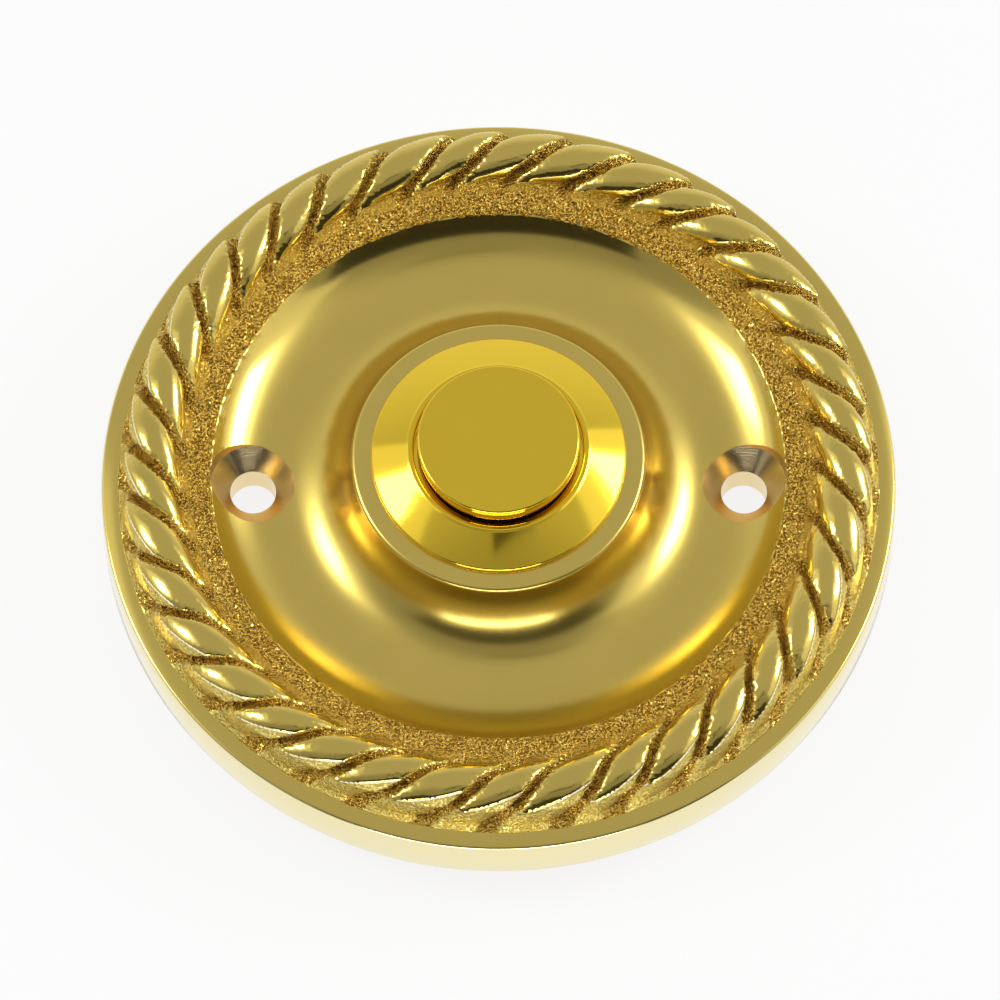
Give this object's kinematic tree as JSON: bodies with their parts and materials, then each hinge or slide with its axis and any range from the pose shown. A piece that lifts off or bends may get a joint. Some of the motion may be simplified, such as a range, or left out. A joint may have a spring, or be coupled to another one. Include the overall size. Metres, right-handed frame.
{
  "type": "doorbell push button",
  "caption": "Round cast brass bell push with a twisted rope border, a dished field with countersunk screw holes and a sprung flat button in a conical bezel.",
  "frame": {"origin": "centre of the backplate's back face, on the wall and midway between the screw holes", "axes": "+X towards the right-hand screw hole, +Y up the wall, +Z out of the wall along the button's line of travel"},
  "size_m": [0.076, 0.076, 0.0191],
  "materials": {
    "cast_brass": "polished high spots over a granular cast ground",
    "turned_brass": "turned and mirror polished",
    "contact_brass": "plain stamped",
    "zinc_steel": "zinc plated",
    "spring_wire": "drawn spring steel",
    "switch_plastic": "dark moulded plastic"
  },
  "bodies": {
    "housing": {"backplate": "cast_brass", "bezel": "turned_brass", "lock_washer": "zinc_steel", "lock_nut": "turned_brass", "switch_base": "switch_plastic", "retaining_ring": "spring_wire", "return_spring": "spring_wire", "contact_rivet_left": "contact_brass", "contact_rivet_right": "contact_brass", "terminal_strip_left": "contact_brass", "terminal_strip_right": "contact_brass", "terminal_washer_left": "zinc_steel", "terminal_washer_right": "zinc_steel", "terminal_screw_left": "zinc_steel", "terminal_screw_right": "zinc_steel"},
    "push": {"button": "turned_brass", "plunger": "switch_plastic", "contact_disc": "contact_brass", "disc_clip": "zinc_steel"}
  },
  "joints": [
    {"name": "button_press", "type": "slide", "parent": "housing", "child": "push", "axis": [0, 0, -1], "range_m": [0, 0.0018], "stiffness_N_per_m": 800, "springref_m": -0.002, "deforming": ["return_spring"]}
  ]
}
